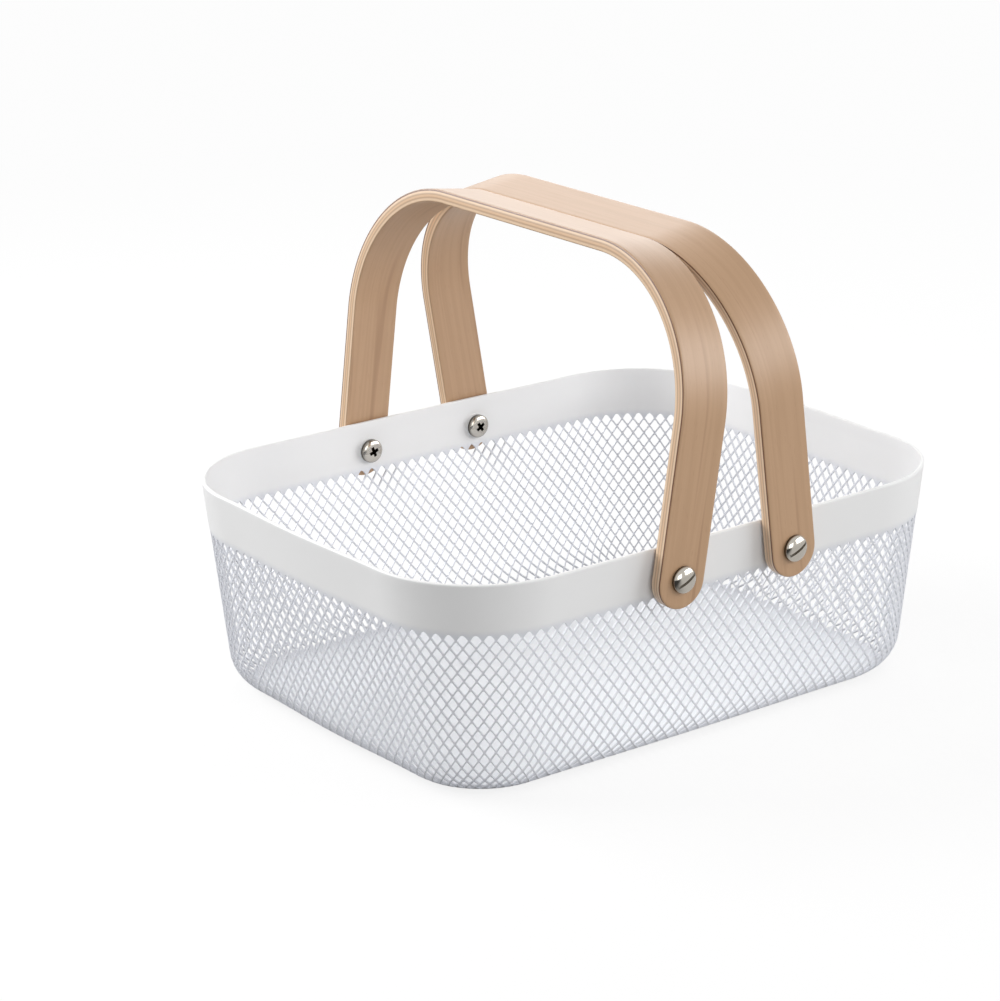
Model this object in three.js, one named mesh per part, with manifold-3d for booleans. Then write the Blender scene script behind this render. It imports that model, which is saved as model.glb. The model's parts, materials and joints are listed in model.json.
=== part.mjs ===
// Fruit basket: one moulded plastic tub with a plain rim band over diamond lattice walls, and two
// bent plywood handles that swing on posts through the long sides. Millimetres, +Z up, the origin
// under the middle of the base, +X along the tub's length. At rest the handles lean on each other.
import * as THREE from 'three';
import { mergeVertices } from 'three/addons/utils/BufferGeometryUtils.js';
import loadManifold from 'manifold-3d';

// Tub
const rimLength = 300;
const rimWidth = 233;
const tubHeight = 103.5;
const rimCornerRadius = 54;
const wallDraft = 6.1; // degrees that the walls lean in towards the base
const endBow = 1.5; // how far each side swells past straight
const sideBow = 0.7;
const baseFillet = 20;
const wallThickness = 1.5;
const lipThickness = 3.2;
const lipHeight = 4;
const bandHeight = 22.5;

// Lattice of the walls, drawn coarser than the real one
const longSideColumns = 10;
const endColumns = 6;
const cornerColumns = 4;
const latticeHalfRows = 7;
const latticeStrand = 3;
const baseBorder = 8; // plain strip around the foot, measured along the fillet

// Handles
const handleWidth = 25;
const handleThickness = 6;
const handleReach = 137.5; // from the pivot to the top face
const handleBend = 67; // outside radius of the two bends
const handleLean = 1.4; // degrees that each leg leans outwards
const handleTilt = 8.3; // degrees that each handle leans inwards at rest
const handleEdge = 0.5; // eased edge
const handleTail = 1.3; // from the pivot down to the middle of a leg's round end
const legGap = 0.5; // from the widest line of the rim to a leg, at the pivot

// Pivot hardware
const pivotDrop = 14.3; // below the rim
const postRadius = 3.5;
const postHeadRadius = 6.2;
const postHeadRim = 0.9;
const postHeadDome = 2.7;
const screwRadius = 2;
const screwHeadRadius = 5.8;
const screwHeadRim = 1.3;
const screwHeadDome = 1.9;
const screwLength = 8;
const washerThickness = 0.8;
const washerRadius = 6.4;
const bossRadius = 6.8;
const bossProud = 0.3; // least height of a boss's seat above the sloping wall

// Clearances
const turnGap = 0.3; // round a post and beside a leg, and between the two handles
const threadGap = 0.2;

// Facets of round shapes
const turnedSides = 16;
const holeSides = 24;
const domeSteps = 4;

// Sizes worked out from the ones above
const radians = THREE.MathUtils.degToRad;
const draftTan = Math.tan(radians(wallDraft));
const draftCos = Math.cos(radians(wallDraft));
const draftSin = Math.sin(radians(wallDraft));
const pivotZ = tubHeight - pivotDrop;
const tiltSin = Math.sin(radians(handleTilt));
const tiltCos = Math.cos(radians(handleTilt));
const pivotX = (handleReach - handleEdge) * tiltSin + (handleWidth / 2) * tiltCos + turnGap / 2;
const straightX = rimLength - 2 * rimCornerRadius;
const straightY = rimWidth - 2 * rimCornerRadius;
const wallInset = (z) => (tubHeight - z) * draftTan;
const bowAt = (bow, along, length) => bow * Math.cos((Math.PI * along) / length) ** 2;
const rimAtPivot = rimWidth / 2 + bowAt(sideBow, pivotX, straightX);
const wallAtBossTop = rimAtPivot - wallInset(pivotZ + bossRadius);
const wallAtBossFoot = rimAtPivot - wallInset(pivotZ - bossRadius) - wallThickness / draftCos;
const leastLegInner = wallAtBossTop + bossProud + washerThickness + turnGap;
const legInner = Math.max(rimWidth / 2 + sideBow + legGap, leastLegInner);
const legOuter = legInner + handleThickness;
const washerFace = legInner - turnGap;
const bossFace = washerFace - washerThickness;
const bossBack = wallAtBossFoot - bossProud;

const plastic = new THREE.MeshStandardMaterial({ color: '#eceae6', roughness: 0.45, metalness: 0 });
const plywood = new THREE.MeshStandardMaterial({ color: '#d9b995', roughness: 0.5, metalness: 0 });
const nickel = new THREE.MeshStandardMaterial({ color: '#c8c8c6', roughness: 0.25, metalness: 1 });
const nylon = new THREE.MeshStandardMaterial({ color: '#dcdcd8', roughness: 0.5, metalness: 0 });

// Solids
const wasm = await loadManifold();
wasm.setup();

function solidOf(geometry) {
  const bare = geometry.clone();
  bare.deleteAttribute('normal');
  bare.deleteAttribute('uv');
  const merged = mergeVertices(bare, 1e-4);
  return new wasm.Manifold(new wasm.Mesh({
    numProp: 3,
    vertProperties: new Float32Array(merged.attributes.position.array),
    triVerts: new Uint32Array(merged.index.array),
  }));
}

function geometryOf(solid) {
  const mesh = solid.getMesh();
  const geometry = new THREE.BufferGeometry();
  geometry.setAttribute('position', new THREE.BufferAttribute(mesh.vertProperties, 3));
  geometry.setIndex(new THREE.BufferAttribute(mesh.triVerts, 1));
  geometry.computeVertexNormals();
  return geometry;
}

// A closed surface collected point by point; points with the same key are shared
class Surface {
  constructor() {
    this.points = [];
    this.faces = [];
    this.keys = new Map();
  }

  point(key, place) {
    if (!this.keys.has(key)) {
      this.keys.set(key, this.points.length / 3);
      this.points.push(...place());
    }
    return this.keys.get(key);
  }

  // a polygon, split as a fan from its first corner
  face(corners) {
    for (let i = 1; i < corners.length - 1; i += 1) {
      this.faces.push(corners[0], corners[i], corners[i + 1]);
    }
  }

  geometry() {
    const geometry = new THREE.BufferGeometry();
    geometry.setAttribute('position', new THREE.Float32BufferAttribute(this.points, 3));
    geometry.setIndex(this.faces);
    return geometry;
  }
}

// Tub outline: straight sides with a slight swell, and round corners whose centres stay where they
// are as the outline shrinks. A column counts diamonds anticlockwise from the start of the +X end.
const halfTurn = [
  { columns: endColumns, length: straightY, side: rimLength / 2, bow: endBow },
  { columns: longSideColumns, length: straightX, side: rimWidth / 2, bow: sideBow },
];
const columnCount = 2 * (endColumns + longSideColumns) + 4 * cornerColumns;

function outlinePoint(column, inset) {
  let left = ((column % columnCount) + columnCount) % columnCount;
  for (let quarter = 0; quarter < 4; quarter += 1) {
    const { columns, length, side, bow } = halfTurn[quarter % 2];
    const turn = (quarter * Math.PI) / 2;
    let out = side - inset;
    let along = length / 2;
    if (left <= columns) {
      along = (left / columns - 0.5) * length;
      out += bowAt(bow, along, length);
    } else if (left < columns + cornerColumns) {
      const angle = ((left - columns) / cornerColumns) * (Math.PI / 2);
      const radius = rimCornerRadius - inset;
      out += radius * (Math.cos(angle) - 1);
      along += radius * Math.sin(angle);
    } else {
      left -= columns + cornerColumns;
      continue;
    }
    return [out * Math.cos(turn) - along * Math.sin(turn), out * Math.sin(turn) + along * Math.cos(turn)];
  }
  return outlinePoint(0, inset);
}

// Tub profile: how far in from the rim's outline, and how high, a point lies that is a distance
// along the outside from the foot and a depth into the wall
const filletInset = wallInset(baseFillet) + baseFillet / draftCos;
const filletAngle = Math.PI / 2 - radians(wallDraft);
const filletLength = baseFillet * filletAngle;
const filletTop = baseFillet * (1 - draftSin);
const latticeTop = filletLength + (tubHeight - bandHeight - filletTop) / draftCos;

function profilePoint(distance, depth) {
  const angle = Math.min(distance, filletLength) / baseFillet;
  const climb = Math.max(distance - filletLength, 0);
  const radius = baseFillet - depth;
  return {
    inset: filletInset - radius * Math.sin(angle) - climb * draftSin,
    z: baseFillet - radius * Math.cos(angle) + climb * draftCos,
  };
}

// Lattice: diamond cells, each with a smaller diamond hole through the wall
function addLattice(surface, wallPoint) {
  const rowStep = (latticeTop - baseBorder) / latticeHalfRows;
  const cellWidth = straightX / longSideColumns;
  const cellHeight = 2 * rowStep;
  const acrossCell = (cellWidth * cellHeight) / Math.hypot(cellWidth, cellHeight);
  const holeShare = 1 - latticeStrand / acrossCell;
  const at = (halfColumn, row, layer) => wallPoint(halfColumn, baseBorder + row * rowStep, layer);
  const corners = [[1, 0], [0, 1], [-1, 0], [0, -1]];

  for (let row = 0; row <= latticeHalfRows; row += 1) {
    for (let column = row % 2; column < 2 * columnCount; column += 2) {
      if (row === 0 || row === latticeHalfRows) {
        const tip = row === 0 ? 1 : -1;
        const half = [[tip, 0], [0, tip], [-tip, 0], [0, 0]];
        for (const layer of [0, 1]) {
          const ring = half.map(([i, j]) => at(column + i, row + j, layer));
          surface.face(layer ? ring.reverse() : [ring[3], ring[0], ring[1], ring[2]]);
        }
        continue;
      }
      const rings = [0, 1].map((layer) => ({
        cell: corners.map(([i, j]) => at(column + i, row + j, layer)),
        hole: corners.map(([i, j]) => at(column + i * holeShare, row + j * holeShare, layer)),
      }));
      for (let side = 0; side < 4; side += 1) {
        const next = (side + 1) % 4;
        const [outside, inside] = rings;
        surface.face([outside.cell[side], outside.cell[next], outside.hole[next], outside.hole[side]]);
        surface.face([inside.cell[next], inside.cell[side], inside.hole[side], inside.hole[next]]);
        surface.face([outside.hole[side], outside.hole[next], inside.hole[next], inside.hole[side]]);
      }
    }
  }
}

function makeTub() {
  const surface = new Surface();
  const ringCount = 2 * columnCount;
  const place = (halfColumn, { inset, z }) => [...outlinePoint(halfColumn / 2, inset), z];
  const wrapped = (halfColumn) => (((halfColumn % ringCount) + ringCount) % ringCount).toFixed(4);
  const wallPoint = (halfColumn, distance, layer) => surface.point(
    `${wrapped(halfColumn)} ${distance.toFixed(4)} ${layer}`,
    () => place(halfColumn, profilePoint(distance, layer * wallThickness)),
  );
  addLattice(surface, wallPoint);

  // rings that go up the outside of the band, over the lip and down the inside
  const lipFoot = tubHeight - lipHeight;
  const taperFoot = lipFoot - (lipThickness - wallThickness);
  const overRim = [
    { inset: 0, z: tubHeight },
    { inset: lipThickness, z: tubHeight },
    { inset: wallInset(lipFoot) + lipThickness, z: lipFoot },
    { inset: wallInset(taperFoot) + wallThickness / draftCos, z: taperFoot },
  ];
  const rimPoint = (halfColumn, ring) => surface.point(
    `${wrapped(halfColumn)} rim ${ring}`,
    () => place(halfColumn, overRim[ring]),
  );
  const floorMiddle = [0, 1].map((layer) => surface.point(
    `floor ${layer}`,
    () => [0, 0, layer * wallThickness],
  ));
  for (let i = 0; i < ringCount; i += 1) {
    const overRimAt = (column) => [
      wallPoint(column, latticeTop, 0),
      ...overRim.map((_, ring) => rimPoint(column, ring)),
      wallPoint(column, latticeTop, 1),
    ];
    const here = overRimAt(i);
    const next = overRimAt(i + 1);
    for (let step = 0; step < here.length - 1; step += 1) {
      surface.face([here[step], next[step], next[step + 1], here[step + 1]]);
    }
    for (const layer of [0, 1]) {
      const foot = [
        wallPoint(i, 0, layer),
        wallPoint(i + 1, 0, layer),
        wallPoint(i + 1, baseBorder, layer),
        wallPoint(i, baseBorder, layer),
      ];
      const floor = [floorMiddle[layer], foot[1], foot[0]];
      surface.face(layer ? foot.reverse() : foot);
      surface.face(layer ? floor.reverse() : floor);
    }
  }

  let tub = solidOf(surface.geometry());

  // a round boss at each pivot gives the hardware flat, upright seats, with the post's hole through it
  const bossLength = bossFace - bossBack;
  const holeRadius = postRadius + turnGap;
  for (const [x, y] of pivotPlaces()) {
    const boss = new THREE.CylinderGeometry(bossRadius, bossRadius, bossLength, holeSides);
    boss.translate(x, y * (bossBack + bossLength / 2), pivotZ);
    tub = tub.add(solidOf(boss));
  }
  for (const [x, y] of pivotPlaces()) {
    const hole = new THREE.CylinderGeometry(holeRadius, holeRadius, 4 * bossLength, holeSides);
    hole.translate(x, y * (bossBack + bossLength / 2), pivotZ);
    tub = tub.subtract(solidOf(hole));
  }
  return geometryOf(tub);
}

function pivotPlaces() {
  return [[-pivotX, -1], [-pivotX, 1], [pivotX, -1], [pivotX, 1]];
}

// Handle: a flat strip bent into an arch, with round ends just below the pivots. Each station has a place
// on the strip's outer face, the way the strip runs there and half its width.
function handleStations() {
  const lean = radians(handleLean);
  const half = handleWidth / 2;
  const outerAt = (z) => legOuter + z * Math.tan(lean);
  const bendCentreZ = handleReach - handleBend;
  const bendCentreY = outerAt(bendCentreZ) - handleBend / Math.cos(lean);
  const stations = [];
  const tipSteps = 7;
  for (let i = 0; i < tipSteps; i += 1) {
    const angle = (Math.PI / 2) * (0.12 + (0.88 * i) / (tipSteps - 1));
    const z = -handleTail - half * Math.cos(angle);
    stations.push({ y: outerAt(z), z, run: Math.PI / 2 - lean, half: half * Math.sin(angle) });
  }
  const bendSteps = 12;
  for (let i = 0; i <= bendSteps; i += 1) {
    const angle = -lean + ((Math.PI / 2 + lean) * i) / bendSteps;
    stations.push({
      y: bendCentreY + handleBend * Math.cos(angle),
      z: bendCentreZ + handleBend * Math.sin(angle),
      run: angle + Math.PI / 2,
      half,
    });
  }
  const mirrored = stations.map((at) => ({ ...at, y: -at.y, run: -at.run }));
  return [...stations, ...mirrored.reverse()];
}

function makeHandle() {
  const surface = new Surface();
  const rings = handleStations().map((at, index) => {
    const inwards = [-Math.sin(at.run), Math.cos(at.run)];
    const section = [
      [at.half - handleEdge, 0],
      [at.half, handleEdge],
      [at.half, handleThickness - handleEdge],
      [at.half - handleEdge, handleThickness],
    ];
    const loop = [...section, ...section.map(([x, depth]) => [-x, depth]).reverse()];
    return loop.map(([x, depth], corner) => surface.point(
      `${index} ${corner}`,
      () => [x, at.y + inwards[0] * depth, at.z + inwards[1] * depth],
    ));
  });
  for (let i = 0; i < rings.length - 1; i += 1) {
    for (let corner = 0; corner < rings[i].length; corner += 1) {
      const next = (corner + 1) % rings[i].length;
      surface.face([rings[i][corner], rings[i + 1][corner], rings[i + 1][next], rings[i][next]]);
    }
  }
  surface.face(rings[0]);
  surface.face([...rings[rings.length - 1]].reverse());
  const holeRadius = postRadius + turnGap;
  const hole = new THREE.CylinderGeometry(holeRadius, holeRadius, 3 * legOuter, holeSides);
  return geometryOf(solidOf(surface.geometry()).subtract(solidOf(hole)));
}

// Pivot hardware, turned about its axis with +Y pointing out of the basket
const headSeat = legOuter + turnGap;
const barrelEnd = bossBack + turnGap;

function domeProfile(baseRadius, y, rise) {
  const curve = [];
  for (let i = 1; i <= domeSteps; i += 1) {
    const angle = ((Math.PI / 2) * i) / domeSteps;
    curve.push([i === domeSteps ? 0 : baseRadius * Math.cos(angle), y + rise * Math.sin(angle)]);
  }
  return curve;
}

function turned(outline) {
  return new THREE.LatheGeometry(outline.map(([r, y]) => new THREE.Vector2(r, y)), turnedSides);
}

function makePost() {
  const boreRadius = screwRadius + threadGap;
  const boreEnd = bossBack + screwLength + turnGap;
  return turned([
    [0, boreEnd],
    [boreRadius, boreEnd],
    [boreRadius, barrelEnd],
    [postRadius, barrelEnd],
    [postRadius, headSeat],
    [postHeadRadius, headSeat],
    [postHeadRadius, headSeat + postHeadRim],
    ...domeProfile(postHeadRadius, headSeat + postHeadRim, postHeadDome),
  ]);
}

function makeScrew() {
  const rimEdge = bossBack - screwHeadRim;
  return turned([
    ...domeProfile(screwHeadRadius, rimEdge, -screwHeadDome).reverse(),
    [screwHeadRadius, rimEdge],
    [screwHeadRadius, bossBack],
    [screwRadius, bossBack],
    [screwRadius, bossBack + screwLength],
    [0, bossBack + screwLength],
  ]);
}

function makeWasher() {
  const bore = postRadius + turnGap;
  return turned([
    [bore, bossFace],
    [washerRadius, bossFace],
    [washerRadius, washerFace],
    [bore, washerFace],
    [bore, bossFace],
  ]);
}

// Assembly
const basket = new THREE.Group();

function addPiece(parent, name, geometry, material) {
  const mesh = new THREE.Mesh(geometry, material);
  mesh.name = name;
  parent.add(mesh);
}

addPiece(basket, 'basket_tub', makeTub(), plastic);
for (const [name, way] of [['left', -1], ['right', 1]]) {
  const swing = new THREE.Group();
  swing.position.set(way * pivotX, 0, pivotZ);
  swing.rotation.y = -way * radians(handleTilt);
  addPiece(swing, `handle_${name}`, makeHandle(), plywood);
  basket.add(swing);
  for (const [side, turn] of [['back', 0], ['front', Math.PI]]) {
    const pivot = new THREE.Group();
    pivot.position.set(way * pivotX, 0, pivotZ);
    pivot.rotation.z = turn;
    addPiece(pivot, `pivot_post_${name}_${side}`, makePost(), nickel);
    addPiece(pivot, `pivot_screw_${name}_${side}`, makeScrew(), nickel);
    addPiece(pivot, `pivot_washer_${name}_${side}`, makeWasher(), nylon);
    basket.add(pivot);
  }
}

export default basket;
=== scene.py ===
import json
import math

import bmesh
import bpy
from mathutils import Matrix, Vector


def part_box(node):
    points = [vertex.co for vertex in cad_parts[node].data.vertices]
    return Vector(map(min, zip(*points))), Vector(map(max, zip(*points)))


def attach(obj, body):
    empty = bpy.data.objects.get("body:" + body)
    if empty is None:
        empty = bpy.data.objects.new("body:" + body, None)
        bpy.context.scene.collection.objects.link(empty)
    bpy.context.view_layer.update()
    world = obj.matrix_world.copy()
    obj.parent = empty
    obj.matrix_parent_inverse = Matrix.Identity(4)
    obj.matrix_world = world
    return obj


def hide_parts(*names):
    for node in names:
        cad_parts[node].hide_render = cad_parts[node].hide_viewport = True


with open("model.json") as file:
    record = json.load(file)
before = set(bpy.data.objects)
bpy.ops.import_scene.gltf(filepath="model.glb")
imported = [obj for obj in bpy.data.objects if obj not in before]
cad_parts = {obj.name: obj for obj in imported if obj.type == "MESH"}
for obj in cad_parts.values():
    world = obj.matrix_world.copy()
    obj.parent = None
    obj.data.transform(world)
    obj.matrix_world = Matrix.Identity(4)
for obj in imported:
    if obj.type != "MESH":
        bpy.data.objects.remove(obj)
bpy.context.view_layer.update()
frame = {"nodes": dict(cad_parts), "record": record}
mm = 0.001
print("frame loaded, nodes:", len(frame["nodes"]))


def toLinear(hexColour):
    # sRGB hex to the linear RGBA that shader sockets take
    parts = [int(hexColour[i:i + 2], 16) / 255 for i in (1, 3, 5)]
    return [c / 12.92 if c <= 0.04045 else ((c + 0.055) / 1.055) ** 2.4 for c in parts] + [1.0]


def addNode(tree, kind, settings=None, inputs=None):
    # one node with its settings; an input is a value, an output, or a node for its first output in use
    node = tree.nodes.new(kind)
    for name, value in (settings or {}).items():
        setattr(node, name, value)
    for key, value in (inputs or {}).items():
        if isinstance(value, bpy.types.Node):
            value = next(output for output in value.outputs if output.enabled)
        if isinstance(value, bpy.types.NodeSocket):
            tree.links.new(value, node.inputs[key])
        else:
            node.inputs[key].default_value = value
    return node


def newObject(name, data):
    made = bpy.data.objects.new(name, data)
    bpy.context.scene.collection.objects.link(made)
    return made


def meshObject(name, points, faces):
    mesh = bpy.data.meshes.new(name)
    mesh.from_pydata(points, [], faces)
    return newObject(name, mesh)


def discard(*helpers):
    for helper in helpers:
        bpy.data.objects.remove(helper, do_unlink=True)


def evaluatedMesh(obj, name):
    # what the modifiers give, as a plain mesh
    graph = bpy.context.evaluated_depsgraph_get()
    mesh = bpy.data.meshes.new_from_object(obj.evaluated_get(graph))
    mesh.name = name
    return mesh


def finishMesh(mesh, material, sharpDegrees):
    mesh.materials.clear()
    mesh.materials.append(material)
    mesh.shade_smooth()
    mesh.set_sharp_from_angle(angle=math.radians(sharpDegrees))


def facesOutward(mesh, mergeDistance=0.001 * mm):
    bm = bmesh.new()
    bm.from_mesh(mesh)
    bmesh.ops.remove_doubles(bm, verts=bm.verts, dist=mergeDistance)
    bmesh.ops.recalc_face_normals(bm, faces=bm.faces)
    bm.to_mesh(mesh)
    bm.free()


def circle(radius, sides):
    turns = [k * math.tau / sides for k in range(sides)]
    return [(radius * math.cos(turn), radius * math.sin(turn)) for turn in turns]


def prism(name, outline, low, high):
    count = len(outline)
    points = [(p[0], p[1], z) for z in (low, high) for p in outline]
    faces = [[k, (k + 1) % count, count + (k + 1) % count, count + k] for k in range(count)]
    faces += [list(range(count))[::-1], list(range(count, 2 * count))]
    return meshObject(name, points, faces)


def cutBy(obj, steps):
    # joins or cuts a closed mesh by other closed meshes, and keeps the result as its plain mesh
    for cutter, operation in steps:
        step = obj.modifiers.new(operation, "BOOLEAN")
        step.operation, step.solver, step.object = operation, "MANIFOLD", cutter
    solid = evaluatedMesh(obj, obj.name + "Solid")
    obj.modifiers.clear()
    obj.data = solid
    discard(*[cutter for cutter, _ in steps])


def nodeModifier(obj, tree, values):
    # inputs go in by socket identifier, before the object is first evaluated
    modifier = obj.modifiers.new(tree.name, "NODES")
    modifier.node_group = tree
    for item in tree.interface.items_tree:
        if item.item_type == "SOCKET" and item.in_out == "INPUT" and item.name in values:
            modifier[item.identifier] = values[item.name]


def nodeTree(name, sockets):
    tree = bpy.data.node_groups.new(name, "GeometryNodeTree")
    tree.interface.new_socket("Geometry", in_out="INPUT", socket_type="NodeSocketGeometry")
    for kind, names in sockets.items():
        for socketName in names:
            tree.interface.new_socket(socketName, in_out="INPUT", socket_type="NodeSocket" + kind)
    tree.interface.new_socket("Geometry", in_out="OUTPUT", socket_type="NodeSocketGeometry")
    return tree, addNode(tree, "NodeGroupInput").outputs


# camera, fitted to the photograph's edges

cameraView = {
    "azimuth": -37.89, "elevation": 19.40, "roll": -0.45,
    "distance": 1.4823, "aim": (0, 0, 0.0643),
    "lens": 113.44, "sensor": 36, "shiftX": -0.0656, "shiftY": 0.0437,
}


def makeCamera():
    azimuth = math.radians(cameraView["azimuth"])
    elevation = math.radians(cameraView["elevation"])
    back = Vector((math.sin(azimuth) * math.cos(elevation),
                   -math.cos(azimuth) * math.cos(elevation), math.sin(elevation)))
    camera = newObject("photoCamera", bpy.data.cameras.new("photoCamera"))
    camera.data.lens = cameraView["lens"]
    camera.data.sensor_width = cameraView["sensor"]
    camera.data.shift_x = cameraView["shiftX"]
    camera.data.shift_y = cameraView["shiftY"]
    turn = (-back).to_track_quat("-Z", "Y").to_matrix().to_4x4()
    roll = Matrix.Rotation(math.radians(cameraView["roll"]), 4, "Z")
    place = Vector(cameraView["aim"]) + back * cameraView["distance"]
    camera.matrix_world = Matrix.Translation(place) @ turn @ roll
    bpy.context.scene.camera = camera
    print("camera set")


# materials: a pattern's size is in metres, and a pair is the low and high end of a range

def newMaterial(name):
    material = bpy.data.materials.new(name)
    material.use_nodes = True
    material.node_tree.nodes.clear()
    return material, material.node_tree


# the lattice's greyer tone is painted shade
polypropylene = {
    "band": "#EFEFEF", "lattice": "#E0E2E8", "floor": "#EEF1F6", "underBand": 3 * mm, "overBand": 2 * mm,
    "cloud": 60 * mm, "cloudShade": 0.96, "grit": 0.9 * mm, "gritDepth": 0.2 * mm, "gritBump": 0.06,
    "roughness": (0.36, 0.5), "ior": 1.49, "scatter": 0.12, "scatterReach": 1.5 * mm,
}


def mouldedPolypropylene():
    # white polypropylene from a fine-blasted mould: satin, a little light passes into it, and the
    # thin lattice is painted greyer than the solid band and floor, as painted shade on its strands
    look = polypropylene
    material, tree = newMaterial("mouldedPolypropylene")
    place = addNode(tree, "ShaderNodeTexCoord").outputs["Object"]
    height = addNode(tree, "ShaderNodeSeparateXYZ", inputs={0: place}).outputs["Z"]
    bandFoot = tub["height"] - tub["band"]
    onBand = addNode(tree, "ShaderNodeMapRange", {"interpolation_type": "SMOOTHSTEP"}, {
        "Value": height, "From Min": bandFoot - look["underBand"], "From Max": bandFoot + look["overBand"]})
    onFloor = addNode(tree, "ShaderNodeMapRange", {"interpolation_type": "SMOOTHSTEP"}, {
        "Value": height, "From Min": tub["wall"], "From Max": 2 * tub["wall"],
        "To Min": 1.0, "To Max": 0.0})
    # painted shade: the lattice gets a greyer tone than the floor and the band
    below = addNode(tree, "ShaderNodeMix", {"data_type": "RGBA"}, {
        "Factor": onFloor, "A": toLinear(look["lattice"]), "B": toLinear(look["floor"])})
    tint = addNode(tree, "ShaderNodeMix", {"data_type": "RGBA"}, {
        "Factor": onBand, "A": below, "B": toLinear(look["band"])})
    cloud = addNode(tree, "ShaderNodeTexNoise", inputs={
        "Vector": place, "Scale": 1 / look["cloud"], "Detail": 3})
    shade = addNode(tree, "ShaderNodeMapRange", inputs={
        "Value": cloud, "To Min": look["cloudShade"], "To Max": 1.0})
    clouded = addNode(tree, "ShaderNodeVectorMath", {"operation": "SCALE"}, {0: tint, "Scale": shade})
    grit = addNode(tree, "ShaderNodeTexNoise", inputs={
        "Vector": place, "Scale": 1 / look["grit"], "Detail": 4})
    bump = addNode(tree, "ShaderNodeBump", inputs={
        "Height": grit, "Strength": look["gritBump"], "Distance": look["gritDepth"]})
    sheen = addNode(tree, "ShaderNodeMapRange", inputs={
        "Value": grit, "To Min": look["roughness"][0], "To Max": look["roughness"][1]})
    shader = addNode(tree, "ShaderNodeBsdfPrincipled", inputs={
        "Base Color": clouded, "Roughness": sheen, "Normal": bump, "IOR": look["ior"],
        "Subsurface Weight": look["scatter"], "Subsurface Radius": (1, 1, 1),
        "Subsurface Scale": look["scatterReach"]})
    addNode(tree, "ShaderNodeOutputMaterial", inputs={"Surface": shader})
    return material


veneer = {
    "early": "#C19C7A", "late": "#AB8763", "mark": "#9C7654",
    "grain": 0.7 * mm, "figure": 9 * mm, "fleck": 1.1 * mm, "streak": 5 * mm,
    "alongGrain": 0.022, "alongFleck": 0.12, "alongStreak": 0.03,  # patterns are drawn out along the strip
    "rings": 7, "ringShare": (0.2, 0.42), "grainShare": 0.3, "fleckShare": 0.35, "streakShare": 0.6,
    "fleckFade": (0.04, 0.2), "streakFade": (0.6, 0.75), "glueFade": (0.3, 0.9),
    "edgePale": "#E3C8AA", "edgeDark": "#CBA681", "glue": "#6A4026", "firstPly": 0.6 * mm, "ply": 1.75 * mm,
    "crossedTone": 0.5, "edgeGrain": 0.4, "glueLine": (0.16, 0.3), "innerGlue": 0.35,
    "grainBump": 0.12, "grainDepth": 0.15 * mm, "roughness": (0.34, 0.5),
    "coat": 0.6, "coatRoughness": 0.42,
}


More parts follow.
